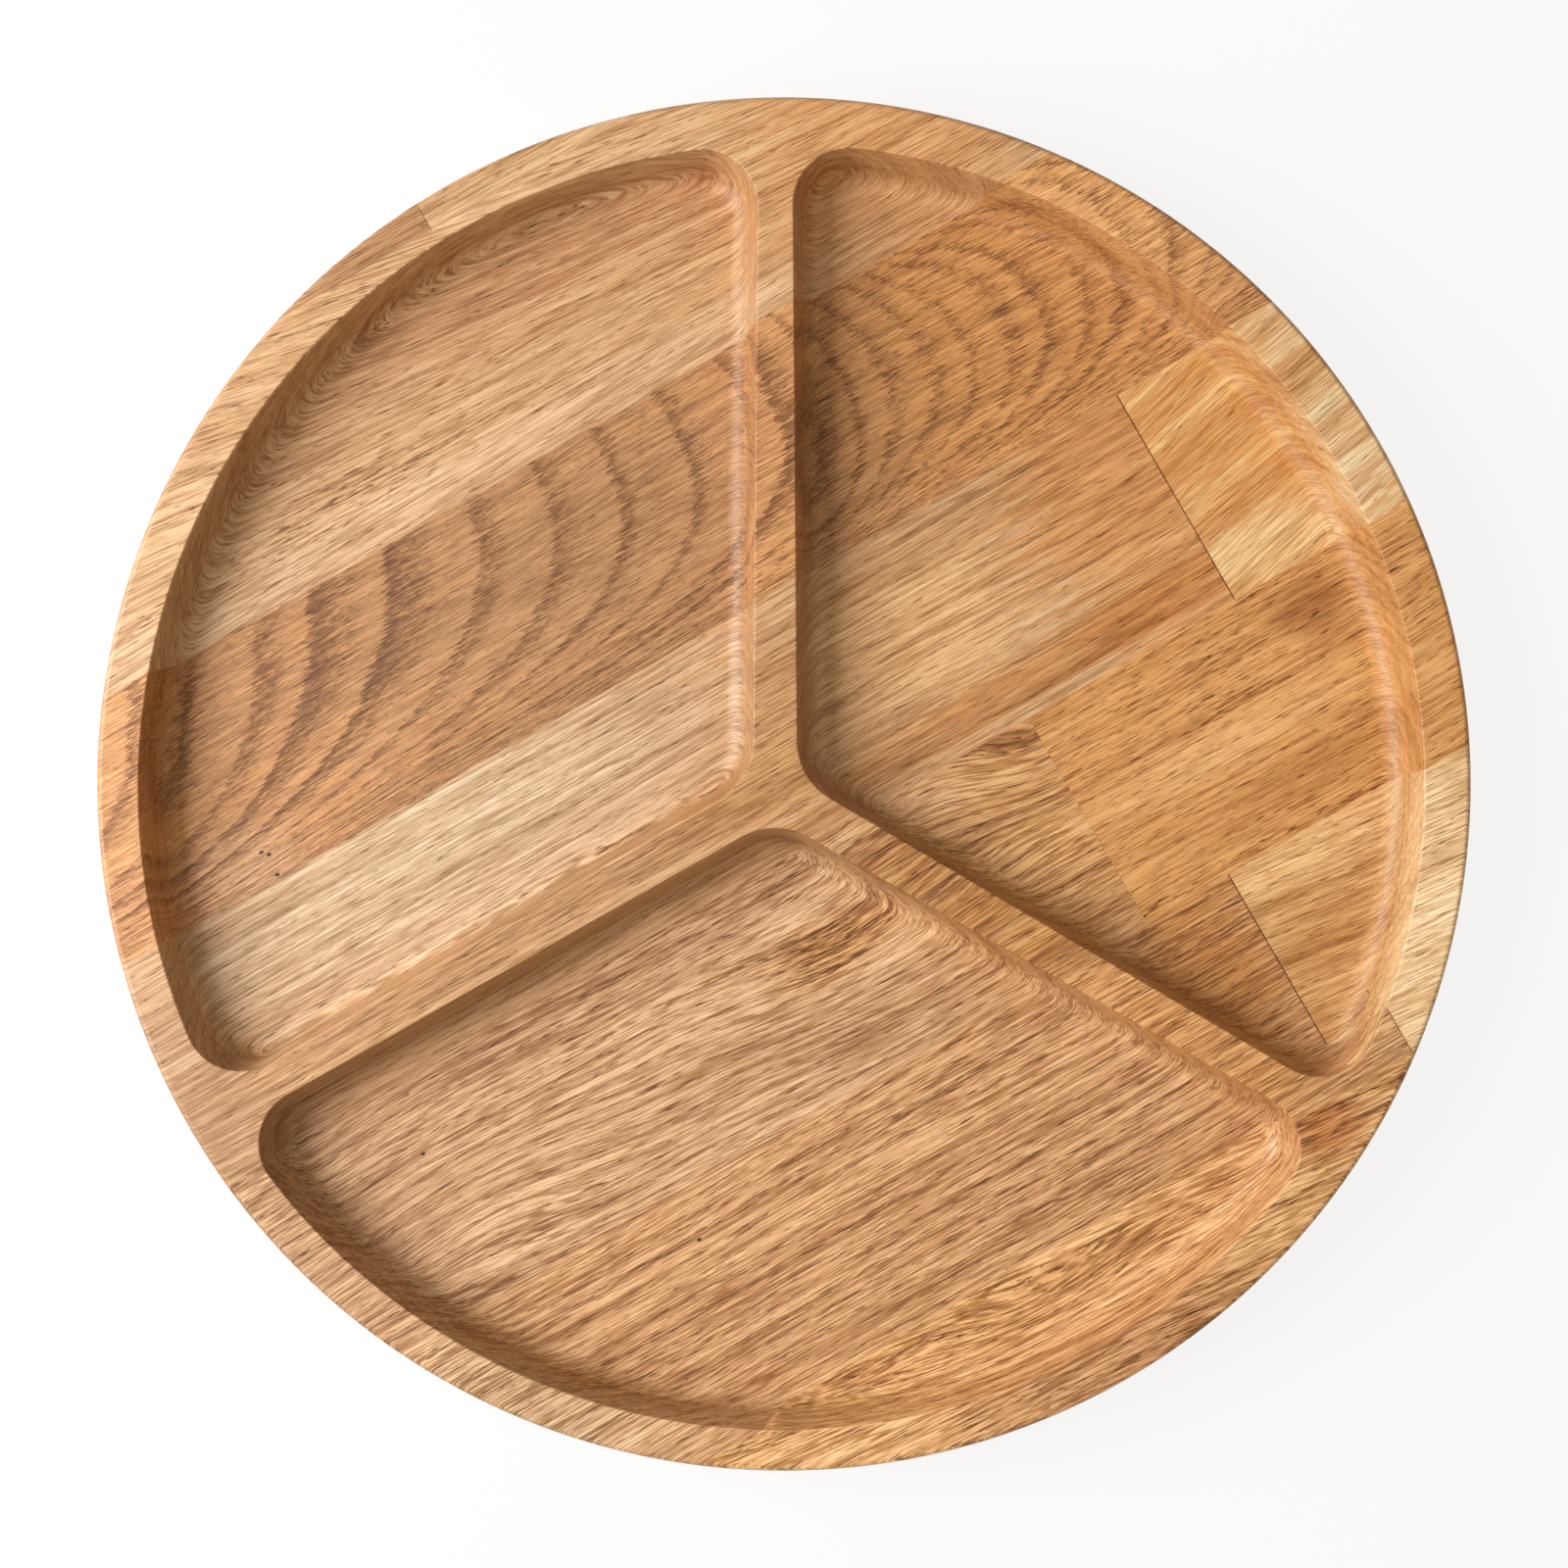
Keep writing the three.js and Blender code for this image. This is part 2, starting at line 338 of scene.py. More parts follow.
# %% Tree: mill the disc
def blank_disc(tree, given):
    circle = step(tree, "GeometryNodeCurvePrimitiveCircle", {},
                  {"Resolution": given["Sides"], "Radius": given["Radius"]})
    band = swept(tree, circle, given["Edge section"])
    flat = step(tree, "ShaderNodeMath", {"operation": "SUBTRACT"},
                {0: given["Radius"], 1: given["Edge round"]})
    base = step(tree, "GeometryNodeMeshCircle", {"fill_type": "TRIANGLE_FAN"},
                {"Vertices": given["Sides"], "Radius": flat})
    lift = step(tree, "ShaderNodeCombineXYZ", {}, {"Z": given["Top"]})
    top = step(tree, "GeometryNodeTransform", {}, {"Geometry": base, "Translation": lift})
    return triangles(tree, welded(tree, [band, top, turned_out(tree, base)]))


def milling_tree():
    tree, given, result = new_tree("mill the disc", {
        "Lips": "Object", "Wall section": "Object", "Edge section": "Object", "Radius": "Float",
        "Edge round": "Float", "Top": "Float", "Sides": "Int",
    })
    walls = swept(tree, drawing(tree, given["Lips"]), given["Wall section"])
    floors = turned_out(tree, cap_at(tree, walls, FLOOR_HEIGHT * MM, "LESS_THAN"))
    lids = cap_at(tree, walls, (TOP + ABOVE_TOP) * MM, "GREATER_THAN")
    cutters = triangles(tree, welded(tree, [walls, floors, lids]))
    milled = step(tree, "GeometryNodeMeshBoolean", {"operation": "DIFFERENCE", "solver": "MANIFOLD"},
                  {"Mesh 1": blank_disc(tree, given), "Mesh 2": cutters})
    tree.links.new(triangles(tree, milled), result)
    return tree


mill = milling_tree()
print("nodes in the milling tree:", len(mill.nodes))

# %% [markdown]
# ## Running the mill
# A tree does its work as a modifier on some object, so an empty workpiece carries it. Its inputs are
# set before it is first evaluated, and the result is kept as a plain mesh, from which every stave
# will be cut.

# %% Mill the disc
DISC_SIDES = 480
workpiece = bpy.data.objects.new("workpiece", bpy.data.meshes.new("workpiece"))
scene.collection.objects.link(workpiece)
milling = workpiece.modifiers.new("milling", "NODES")
milling.node_group = mill
set_inputs(milling, {
    "Lips": lip_drawing, "Wall section": wall_drawing, "Edge section": edge_drawing,
    "Radius": RADIUS * MM, "Edge round": EDGE_ROUND * MM, "Top": TOP * MM, "Sides": DISC_SIDES,
})
milled_disc = bpy.data.objects.new("milled_disc", plain_mesh(workpiece, "milled_disc"))
scene.collection.objects.link(milled_disc)
print("milled disc:", len(milled_disc.data.vertices), "points,", len(milled_disc.data.polygons), "faces")

# %% [markdown]
# ## Rows of staves
# The panel is five whole staves wide, with what the disc leaves of one more at each edge. Four rows
# are spliced with finger joints: such a joint shows as a straight line on a face and as a zigzag on
# edge. A joint is drawn as that zigzag in side view, and the two staves that meet there share it, with
# a small gap for the glue.

# %% Where the rows and the finger joints lie
WHOLE_STAVES = 5
UPPER_STRIP = 5.95
LOWER_STRIP = 25.4
ROWS = WHOLE_STAVES + 2
SPLICES = {1: -5.2, 4: 100.9, 5: 56.8, 6: 74.3}
SPLICE_GAPS = {1: 0.1, 4: 0.3, 5: 0.02, 6: 0.3}
FINGER_LENGTH = 11.3
FINGER_PITCH = 4.0
FINGER_TIP = 0.6
BEYOND = 20.0
stave_width = (2 * RADIUS - UPPER_STRIP - LOWER_STRIP) / WHOLE_STAVES


def finger_line(x):
    """A finger joint on edge as (x, z) points from above the top face to below the base."""
    line = []
    crest = TOP + FINGER_PITCH
    half_tip = FINGER_TIP / 2
    root = x - FINGER_LENGTH
    while crest > -FINGER_PITCH:
        trough = crest - FINGER_PITCH / 2
        line += [(x, crest + half_tip), (x, crest - half_tip)]
        line += [(root, trough + half_tip), (root, trough - half_tip)]
        crest -= FINGER_PITCH
    return line


def plain_end(x):
    line = finger_line(x)
    return [(x, line[0][1]), (x, line[-1][1])]


def row_sides(row):
    """The lower and upper glue line of a row."""
    above = RADIUS - UPPER_STRIP - (row - 2) * stave_width
    high = RADIUS + BEYOND if row == 1 else above
    low = -RADIUS - BEYOND if row == ROWS else above - stave_width
    return low, high


def row_ends(row):
    """The left and right end of every stave in a row."""
    left = plain_end(-RADIUS - BEYOND)
    right = plain_end(RADIUS + BEYOND)
    if row not in SPLICES:
        return {f"stave_{row}": (left, right)}
    joint = SPLICES[row]
    return {
        f"stave_{row}_left": (left, finger_line(joint)),
        f"stave_{row}_right": (finger_line(joint + SPLICE_GAPS[row]), right),
    }


print("a whole stave is", round(stave_width, 2), "mm wide")

# %% [markdown]
# ## A tree that trims a stave
# A stave's side view is pulled across its row into a bar, and what the bar shares with the milled
# disc is the stave. That is the order of the workshop in reverse, but it leaves the same piece as
# gluing first and milling after. Edges sharper than an eased corner are kept crisp in shading.

# %% Tree: trim a stave
CRISP = math.radians(35)


def stave_tree():
    tree, given, result = new_tree("trim a stave", {
        "Milled disc": "Object", "Across": "Vector", "Oak": "Material",
    })
    side = given["Geometry"]
    pulled = step(tree, "GeometryNodeExtrudeMesh", {"mode": "FACES"},
                  {"Mesh": side, "Offset": given["Across"], "Offset Scale": 1.0, "Individual": False})
    bar = triangles(tree, welded(tree, [pulled, turned_out(tree, side)]))
    stave = step(tree, "GeometryNodeMeshBoolean", {"operation": "INTERSECT", "solver": "MANIFOLD"},
                 {"Mesh 2": [drawing(tree, given["Milled disc"]), bar]})
    smooth = step(tree, "GeometryNodeSetShadeSmooth", {"domain": "FACE"}, {"Geometry": stave})
    bend = step(tree, "GeometryNodeInputMeshEdgeAngle", {}, {})
    is_crisp = step(tree, "FunctionNodeCompare", {"operation": "GREATER_THAN"}, {"A": bend, "B": CRISP})
    shaded = step(tree, "GeometryNodeSetShadeSmooth", {"domain": "EDGE"},
                  {"Geometry": smooth, "Selection": is_crisp, "Shade Smooth": False})
    real = step(tree, "GeometryNodeRealizeInstances", {}, {"Geometry": shaded})
    dressed = step(tree, "GeometryNodeSetMaterial", {}, {"Geometry": real, "Material": given["Oak"]})
    tree.links.new(dressed, result)
    return tree


trimming = stave_tree()
print("nodes in the trimming tree:", len(trimming.nodes))

# %% [markdown]
# ## Cutting a stave
# Each stave starts as one upright face, its outline in side view. The trimming tree makes the stave
# of it, and a Weighted Normal modifier follows. That keeps the flat faces flat in shading right up to
# a cove, where plain smooth shading would smear the cove across the floor.

# %% Cut one stave from the milled disc
FLAT_FACES_COUNT = 100


def side_view(name, left, right, y):
    """The stave's outline as one upright face."""
    outline = left + right[::-1]
    mesh = bpy.data.meshes.new(name)
    mesh.from_pydata([(x * MM, y * MM, z * MM) for x, z in outline], [], [range(len(outline))])
    blank = bpy.data.objects.new(name, mesh)
    scene.collection.objects.link(blank)
    return blank


def cut_stave(name, ends, sides, finish):
    low, high = sides
    blank = side_view(name + "_blank", *ends, high)
    trim = blank.modifiers.new("trim", "NODES")
    trim.node_group = trimming
    set_inputs(trim, {"Milled disc": milled_disc, "Across": (0, (low - high) * MM, 0), "Oak": finish})
    normals = blank.modifiers.new("flat faces first", "WEIGHTED_NORMAL")
    normals.weight = FLAT_FACES_COUNT
    normals.keep_sharp = True
    stave = bpy.data.objects.new("oak_" + name, plain_mesh(blank, "oak_" + name))
    scene.collection.objects.link(stave)
    return stave


print("staves to cut:", sum(len(row_ends(row)) for row in range(1, ROWS + 1)))

# %% [markdown]
# ## Writing shader maths as sums
# Oak is drawn with many small sums. The class below wraps a socket, so that a sum of two values
# adds a Math node, and any other node comes from its one method. Nodes could be placed one by one, but
# this keeps a finish as short as the rule that it follows.

# %% A class for values inside the wood
class Wood:
    """A value that varies through the wood: a socket that can be added, taken away, scaled or divided."""

    def __init__(self, socket):
        self.socket = socket

    def node(self, kind, settings, joins, output=0):
        tree = self.socket.id_data
        made = tree.nodes.new(kind)
        for name, value in settings.items():
            if name == "stops":
                ramp = made.color_ramp
                while len(ramp.elements) < len(value):
                    ramp.elements.new(0.5)
                for stop, (place, colour) in zip(ramp.elements, value):
                    stop.position = place
                    stop.color = colour
            else:
                setattr(made, name, value)
        for key, value in joins.items():
            if isinstance(value, Wood):
                tree.links.new(value.socket, made.inputs[key])
            else:
                made.inputs[key].default_value = value
        return Wood(made.outputs[output])

    def sum(self, operation, first, second=0.5):
        return self.node("ShaderNodeMath", {"operation": operation}, {0: first, 1: second})

    def __add__(self, other):
        return self.sum("ADD", self, other)

    def __radd__(self, other):
        return self.sum("ADD", other, self)

    def __sub__(self, other):
        return self.sum("SUBTRACT", self, other)

    def __rsub__(self, other):
        return self.sum("SUBTRACT", other, self)

    def __mul__(self, other):
        return self.sum("MULTIPLY", self, other)

    def __rmul__(self, other):
        return self.sum("MULTIPLY", other, self)

    def __truediv__(self, other):
        return self.sum("DIVIDE", self, other)


print("a value inside the wood can be added, taken away, scaled and divided")

# %% [markdown]
# ## Small rules for drawing wood
# Nature rarely has a hard edge, so most rules fade: something rises from nothing to all between two
# values, or falls back again. Flecks are noise that is stretched to a size in millimetres, and a spot
# is a soft oval at one place. An image of wood could stand in for all of this, but then a cove would
# show a smeared picture instead of a cut through the grain.

# %% Rules that fade, scatter and place
FLECK_SEED_SHIFT = (7.31, 3.17, 5.53)


def rise(value, low, high):
    """Goes smoothly from 0 at low to 1 at high."""
    return value.node("ShaderNodeMapRange", {"interpolation_type": "SMOOTHSTEP"},
                      {"Value": value, "From Min": low, "From Max": high})


def fall(value, low, high):
    """Goes smoothly from 1 at low to 0 at high."""
    return 1 - rise(value, low, high)


def stretched(place, scale, shift):
    return place.node("ShaderNodeVectorMath", {"operation": "MULTIPLY_ADD"}, {0: place, 1: scale, 2: shift})


def flecks(place, size, seed, detail=1.0):
    """Soft random flecks of about a size in millimetres along, across and through."""
    shift = tuple(s * seed for s in FLECK_SEED_SHIFT)
    scaled = stretched(place, tuple(1 / s for s in size), shift)
    return scaled.node("ShaderNodeTexNoise", {}, {"Vector": scaled, "Scale": 1.0, "Detail": detail})


def spot(place, centre, reach):
    """How far a point is from a spot, as 0 at its centre and 1 at its edge."""
    shift = tuple(-c / r for c, r in zip(centre, reach))
    scaled = stretched(place, tuple(1 / r for r in reach), shift)
    return scaled.node("ShaderNodeVectorMath", {"operation": "LENGTH"}, {0: scaled}, "Value")


def parts(vector):
    """The x, y and z of a vector."""
    split = vector.node("ShaderNodeSeparateXYZ", {}, {"Vector": vector}).socket.node
    return [Wood(out) for out in split.outputs]


print("each seed moves the flecks by", FLECK_SEED_SHIFT)

# %% [markdown]
# ## Mixing tones
# A finisher judges a tone on the scale of 0 to 255 that every paint program shows, while a
# shader counts light itself, so a tone is turned into light before it is used. A stain multiplies the
# wood instead of covering it, because the fibres still show through it on the real board.

# %% Rules that mix tones
MIX_FIRST = 6
MIX_SECOND = 7
MIX_RESULT = 2


def blend(first, second, share, how="MIX"):
    """A colour that goes from the first to the second as share goes from 0 to 1."""
    return share.node("ShaderNodeMix", {"data_type": "RGBA", "blend_type": how},
                      {0: share, MIX_FIRST: first, MIX_SECOND: second}, MIX_RESULT)


def tone(red, green, blue):
    """A colour as the eye counts it, from 0 to 255, turned into what the shader wants."""
    def straight(value):
        return value / 12.92 if value <= 0.04045 else ((value + 0.055) / 1.055) ** 2.4
    return (straight(red / 255), straight(green / 255), straight(blue / 255), 1.0)


def lean(colour, body, stain_and_light_tone, share):
    """Wood that leans from its body tone to a patch's tone and keeps its fibres; most patches are the
    board's own colour, and a few also carry painted light.
    """
    ratio = tuple(s / b for s, b in zip(tone(*stain_and_light_tone), tone(*body)))
    return blend(colour, ratio, share, "MULTIPLY")


print("a tone of 128 is", round(tone(128, 128, 128)[0], 3), "of full light")

# %% [markdown]
# ## Where a point lies in the tree
# Wood grows in sheets round the pith, the middle of the tree. So each point of a stave gets a second
# place: along the grain, outwards from the pith, and around it. Everything that is drawn on that
# second place turns with the sheets, so a cove or an end shows what a real cut would show. The grain
# also wanders a little, leans with the board's slope, and bulges beside a knot.

# %% Place a point in the stave and in the tree
WALL_FACING = (0.3, 0.95)
WANDER_SIZE = (80.0, 22.0, 22.0)
ROUND_THE_PITH = 90.0


def in_the_stave(corner):
    """A point's place in millimetres, how much it faces along the grain and how much it is a wall."""
    metres = Wood(corner.outputs["Object"])
    place = metres.node("ShaderNodeVectorMath", {"operation": "SCALE"}, {0: metres, "Scale": 1 / MM})
    x, y, z = parts(place)
    along, _, up = parts(Wood(corner.outputs["Normal"]))
    end_grain = along.sum("ABSOLUTE", along)
    return SimpleNamespace(place=place, x=x, y=y, z=z, end_grain=end_grain, wall=fall(up, *WALL_FACING))


def in_the_tree(here, board, seed):
    """Adds the place in the tree: across the board, outwards from the pith, and as a grain vector."""
    wander = flecks(here.place, WANDER_SIZE, seed + 1, 0.0) - 0.5
    fan_from, fan = board["fan"]
    slope = board["slope"] + (here.y - fan_from) * fan
    here.lie = here.y - slope * here.x + wander * board["wander"]
    for centre, reach, shift in board["bulges"]:
        here.lie = here.lie + fall(spot(here.place, centre, reach), 0.0, 1.0) * shift
    pith_y, pith_z = board["pith"]
    drift_y, drift_z = board["drift"]
    off_y = here.lie - pith_y - drift_y * here.x
    off_z = here.z - pith_z - drift_z * here.x
    here.outwards = here.x.sum("SQRT", off_y * off_y + off_z * off_z)
    around = here.x.sum("ARCTAN2", off_y, off_z) * ROUND_THE_PITH
    here.grain = here.place.node("ShaderNodeCombineXYZ", {}, {0: here.x, 1: here.outwards, 2: around})


print("the grain wanders over about", WANDER_SIZE[0], "mm of length")

# %% [markdown]
# ## Growth rings
# Every ring starts with a porous band and ends in dense wood. Most staves cut the rings into stripes,
# so their rings are counted outwards from the pith. One stave cuts across a leaning trunk and shows
# nested arches, so its rings are counted along the grain and swept back beside an axis. Feathered
# edges and uneven widths keep the rings from looking turned on a lathe.

# %% Count the rings and find their porous bands
FEATHER_SIZE = (5.0, 0.4, 0.6)
RAGGED_ALONG = (20.0, 60.0)
UNEVEN_PACE = 0.37
UNEVEN_SHIFT = 0.8
BAND_PEAK = 0.1
BAND_END = 0.65
LEAST_POROUS = 0.2
MORE_POROUS = 1.5
ARCH_LIMIT = 0.9
ARCH_SLANT = 0.25
ARCH_SLANT_FADES = (-70.0, 20.0)
RINGS_LEAN = 0.7


def rings_in_arches(arches, here):
    """Growth rings counted along the grain, where a leaning trunk shows as arches that point to +X."""
    axis = here.x.sum("MAXIMUM", arches["high"] - here.x * arches["fall"], arches["least"])
    off = (here.lie - axis) / (axis - arches["low"])
    bent = off.sum("MINIMUM", off * off, ARCH_LIMIT)
    slant = (axis - here.lie) * fall(here.x, *ARCH_SLANT_FADES) * ARCH_SLANT
    along = here.x + bent / (1 - bent) * arches["sweep"] + slant + here.z * RINGS_LEAN
    closer = 1 / arches["close_apart"] - 1 / arches["apart"]
    extra = along.sum("MAXIMUM", along - arches["close_from"], 0.0) * closer
    return along / arches["apart"] + extra * rise(here.x, *arches["close_at"])


def porous_bands(here, board, seed):
    """How porous the wood is, from 0 in dense wood to about 1 in the middle of a porous band."""
    if "arches" in board:
        rings = rings_in_arches(board["arches"], here)
    else:
        rings = here.outwards / board["ring"]
    feather = flecks(here.grain, FEATHER_SIZE, seed + 2, 2.0) - 0.5
    raggedness = board["feather"] + rise(here.x, *RAGGED_ALONG) * board["ragged"]
    rings = rings + feather * raggedness
    uneven = rings.node("ShaderNodeTexNoise", {"noise_dimensions": "1D"},
                        {"W": rings * UNEVEN_PACE + seed, "Detail": 1.0})
    rings = rings + uneven * UNEVEN_SHIFT
    phase = rings.sum("FRACT", rings)
    band = rise(phase, 0.0, BAND_PEAK) * fall(phase, BAND_PEAK, BAND_END)
    return band * (LEAST_POROUS + MORE_POROUS * uneven)


print("a porous band ends at", BAND_END, "of its ring")

# %% [markdown]
# ## Fibres, hair lines and pores
# Between the rings, oak is a bundle of marks along the grain: broad stripes and narrow streaks of
# tone, fine fibres, dark hair lines, and open pores that show as short dashes. They differ in length
# and width only, so each is the same noise at another size. On a face that cuts across the grain the
# marks shrink to dots, so they are toned down there.

# %% Draw the marks along the grain
STRIPE_SIZE = (160.0, 4.0, 20.0)
STREAK_SIZE = (70.0, 1.3, 8.0)
FIBRE_SIZE = (6.0, 0.16, 1.2)
FIBRE_EDGE = (0.36, 0.64)
LINE_SIZE = (14.0, 0.2, 2.5)
LINE_EDGE = (0.36, 0.43)
SEAM_SIZE = (45.0, 1.0, 6.0)
SEAM_EDGE = (0.012, 0.045)
PORE_EDGE = (0.62, 0.70)
PORES_BY_LINES = 0.03
CLUSTER_CORE = 0.3
END_FACING = (0.08, 0.45)
LINES_LOST_ON_ENDS = 0.15
PORES_LOST_ON_ENDS = 0.6


def marks_along_the_grain(here, board, seed):
    """Adds stripes, streaks, fibres, hair lines and pores to what is known of a point."""
    grain = here.grain
    ends = rise(here.end_grain, *END_FACING)
    calm = 1 - ends * LINES_LOST_ON_ENDS
    here.stripes = flecks(grain, STRIPE_SIZE, seed + 4, 1.0) - 0.5
    here.streaks = flecks(grain, STREAK_SIZE, seed + 5, 2.0) - 0.5
    here.fibres = rise(flecks(grain, FIBRE_SIZE, seed + 7, 2.0), *FIBRE_EDGE) - 0.5
    here.fibre_tone = here.fibres * calm
    lines = fall(flecks(grain, LINE_SIZE, seed + 6, 1.0), *LINE_EDGE)
    seam_field = flecks(grain, SEAM_SIZE, seed + 9, 1.0) - 0.5
    seams = fall(seam_field.sum("ABSOLUTE", seam_field), *SEAM_EDGE)
    here.hairs = lines.sum("MAXIMUM", lines, seams) * calm
    crowd = here.porous * board["pore_bands"] + board["pores"] + lines * PORES_BY_LINES
    for centre, reach, amount in board["clusters"]:
        crowd = crowd + fall(spot(here.place, centre, reach), CLUSTER_CORE, 1.0) * amount
    dashes = rise(flecks(grain, board["pore"], seed + 3, 1.0) + crowd, *PORE_EDGE)
    here.pores = dashes * (1 - ends * PORES_LOST_ON_ENDS)


print("a fibre is about", FIBRE_SIZE[1], "mm wide, a stripe", STRIPE_SIZE[1], "mm")

# %% [markdown]
# ## The colour of the oak
# The marks are weighed into one shade, and a ramp turns that shade into the board's deep, body and
# pale tones. Stains and a few patches of painted light then shift the tone, end grain, hair lines and
# pores darken the result, and pin knots cover it.
# The cutter leaves faint level marks on the walls, so those get a little shade that follows the
# height alone.

# %% Colour the oak
MARK_SIZE = (90.0, 90.0, 0.4)
MARK_DEPTH = 0.5
TONE_STOPS = (0.1, 0.5, 0.9)
STAIN_AND_LIGHT_FADE = (0.2, 1.05)
STAIN_AND_LIGHT_RAGGED = 0.9
END_SHADE = (0.76, 0.73, 0.68, 1.0)
END_SHADE_FACING = (0.1, 0.6)
HAIR_SHADE = (0.58, 0.48, 0.36, 1.0)
PORE_SHADE = (0.3, 0.2, 0.1, 1.0)
KNOT_REACH = (0.6, 0.45, 3.0)
KNOT_CORE = 0.5
KNOT_TONE = (58, 30, 18)


def oak_colour(here, board, seed):
    cutter_marks = (flecks(here.place, MARK_SIZE, seed + 8, 1.0) - 0.5) * here.wall
    shade = 0.5 + here.stripes * board["stripes"] + here.streaks * board["streaks"]
    shade = shade + here.fibre_tone * board["fibres"] - here.porous * board["bands"]
    shade = shade + cutter_marks * MARK_DEPTH
    body = board["tones"][1]
    stops = [(stop, tone(*colour)) for stop, colour in zip(TONE_STOPS, board["tones"])]
    colour = shade.node("ShaderNodeValToRGB", {"stops": stops}, {"Fac": shade})
    # Painted light: a few of these patches are painted warm or bright light on one part of the tray; the
    # rest are the board's own colour.
    for centre, reach, stain_and_light_tone, strength in board["stains_and_painted_light"]:
        ragged = spot(here.place, centre, reach) + here.streaks * STAIN_AND_LIGHT_RAGGED
        colour = lean(colour, body, stain_and_light_tone, fall(ragged, *STAIN_AND_LIGHT_FADE) * strength)
    colour = blend(colour, END_SHADE, rise(here.end_grain, *END_SHADE_FACING), "MULTIPLY")
    colour = blend(colour, HAIR_SHADE, here.hairs * board["hairs"], "MULTIPLY")
    colour = blend(colour, PORE_SHADE, here.pores * board["pore_strength"], "MULTIPLY")
    for centre in board["knots"]:
        knot = fall(spot(here.place, centre, KNOT_REACH), KNOT_CORE, 1.0)
        colour = blend(colour, tone(*KNOT_TONE), knot)
    return colour


print("a pin knot is about", 2 * KNOT_REACH[0], "mm long")

# %% [markdown]
# ## An oiled surface
# Oil leaves oak satin: the wood shines softly, pores stay duller and lie a little lower, and fibres
# stand a little proud. That relief is far finer than the mesh, so it is a bump. A thin rough coat
# over the wood gives the broad sheen on the coves.

# %% Finish one stave
WOOD_ROUGHNESS = 0.45
PORE_ROUGHNESS = 0.2
FIBRE_POLISH = 0.06
FIBRE_RELIEF = 0.2
HAIR_RELIEF = 0.5
RELIEF_LOST_ON_WALLS = 0.8
BUMP_STRENGTH = 0.4
BUMP_DEPTH = 0.06
OIL = {"Specular IOR Level": 0.3, "Coat Weight": 0.4, "Coat Roughness": 0.55}


def oak(name, board, seed):
    material = bpy.data.materials.new(name)
    material.use_nodes = True
    tree = material.node_tree
    here = in_the_stave(tree.nodes.new("ShaderNodeTexCoord"))
    in_the_tree(here, board, seed)
    here.porous = porous_bands(here, board, seed)
    marks_along_the_grain(here, board, seed)
    relief = here.fibres * FIBRE_RELIEF - here.hairs * HAIR_RELIEF - here.pores
    height = relief * (1 - here.wall * RELIEF_LOST_ON_WALLS)
    surface = {
        "Base Color": oak_colour(here, board, seed),
        "Roughness": WOOD_ROUGHNESS + here.pores * PORE_ROUGHNESS - here.fibres * FIBRE_POLISH,
        "Normal": height.node("ShaderNodeBump", {}, {
            "Strength": BUMP_STRENGTH, "Distance": BUMP_DEPTH * MM, "Height": height}, "Normal"),
    }
    shader = tree.nodes["Principled BSDF"]
    for socket, value in surface.items():
        tree.links.new(value.socket, shader.inputs[socket])
    for socket, value in OIL.items():
        shader.inputs[socket].default_value = value
    return material


print("an oiled stave has", BUMP_DEPTH, "mm of relief and a coat of", OIL["Coat Weight"])

# %% [markdown]
# ## A plain board
# Every stave comes from another board, so each has its own place in the log and its own tones. A
# plain board is written first, and the others name only what differs. Pith says where the middle of
# the tree lay across and below the stave, drift how fast it leaves the stave's line, and ring how wide
# a ring is. The rest says how strong each kind of mark is. Tones go from deep over body to pale, and
# spots are given as centre, reach and what they do there.

# %% The plain board and the narrow upper strip
PLAIN = dict(
    slope=0.0, fan=(0.0, 0.0), wander=2.0, pith=(-80, -60), drift=(0.0, 0.0), ring=2.0,
    feather=0.5, ragged=0.0, pore=(3.5, 0.16, 0.5), pore_bands=0.08, pores=-0.05, pore_strength=0.9,
    stripes=0.5, streaks=0.45, hairs=0.9, fibres=0.4, bands=0.06,
    bulges=(), clusters=(), stains_and_painted_light=(), knots=(),
)
BOARDS = {
    "stave_1_left": dict(PLAIN, tones=((146, 99, 59), (184, 137, 93), (201, 156, 115))),
    "stave_1_right": dict(PLAIN, tones=((178, 133, 85), (212, 170, 124), (227, 195, 153))),
}
print("settings of a plain board:", len(PLAIN))

# %% [markdown]
# ## The second and third row
# The second row is straight-grained, calm and pale towards its lower edge. The third has the nested
# arches, with short pores crowded into every ring and three pin knots near the left rim. Its arches
# have an axis that falls along the stave and open out towards its lower edge, and on the right they
# lie closer together and grow ragged.

